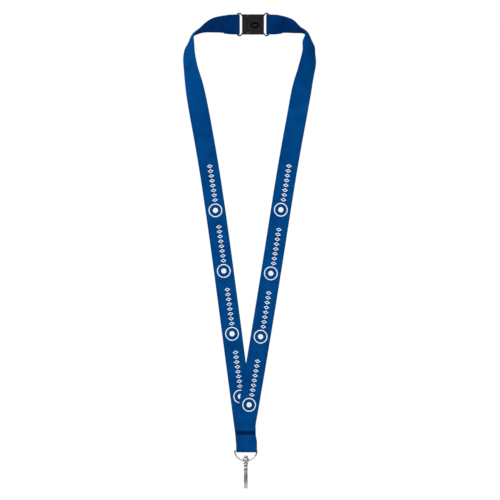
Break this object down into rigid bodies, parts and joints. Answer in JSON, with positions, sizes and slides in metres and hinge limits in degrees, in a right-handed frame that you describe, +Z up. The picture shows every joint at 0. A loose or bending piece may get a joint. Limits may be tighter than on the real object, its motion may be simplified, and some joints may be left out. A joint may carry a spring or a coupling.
{
  "type": "lanyard",
  "caption": "Neck lanyard of flat webbing: two straps joined at the nape by a breakaway clasp, sewn at the front round a D-ring with a swivel trigger hook.",
  "frame": {"origin": "middle of the clasp's flat neck-side face", "axes": "+Z up along the hanging lanyard, +X to the right seen from the printed side, -Y out of the neck-side face towards the front"},
  "size_m": [0.1277, 0.0265, 0.4539],
  "materials": {
    "webbing": "woven polyester webbing, fine cross ribs, satin sheen",
    "thread": "navy polyester sewing thread",
    "clasp_plastic": "moulded acetal, fine matt texture",
    "plated_metal": "nickel-plated die-cast zinc and steel wire"
  },
  "bodies": {
    "root": {"strap_right": "webbing", "clasp_socket": "clasp_plastic", "right_tail_thread": "thread", "seam_thread": "thread"},
    "left_side": {"strap_left": "webbing", "clasp_plug": "clasp_plastic", "left_tail_thread": "thread"},
    "ring": {"d_ring": "plated_metal"},
    "hook": {"hook_body": "plated_metal", "swivel_rivet": "plated_metal", "gate_pin": "plated_metal", "gate_spring": "plated_metal"},
    "gate": {"hook_gate": "plated_metal"}
  },
  "joints": [
    {"name": "clasp_release", "type": "hinge", "parent": "root", "child": "left_side", "pos_m": [-0.0077, -0.0075, -0.389], "axis": [0, -1, 0], "range_deg": [0, 30]},
    {"name": "ring_swing", "type": "hinge", "parent": "root", "child": "ring", "pos_m": [-0.00687, -0.0075, -0.40668], "axis": [1, 0, 0], "range_deg": [-80, 80]},
    {"name": "hook_swivel", "type": "hinge", "parent": "ring", "child": "hook", "pos_m": [-0.00687, -0.0075, -0.41848], "axis": [0, 0, 1], "continuous": true},
    {"name": "gate_open", "type": "hinge", "parent": "hook", "child": "gate", "pos_m": [-0.00687, -0.0112, -0.42468], "axis": [1, 0, 0], "range_deg": [0, 18], "stiffness_Nm_per_rad": 0.004, "springref_deg": -34.38, "deforming": ["gate_spring"]}
  ]
}
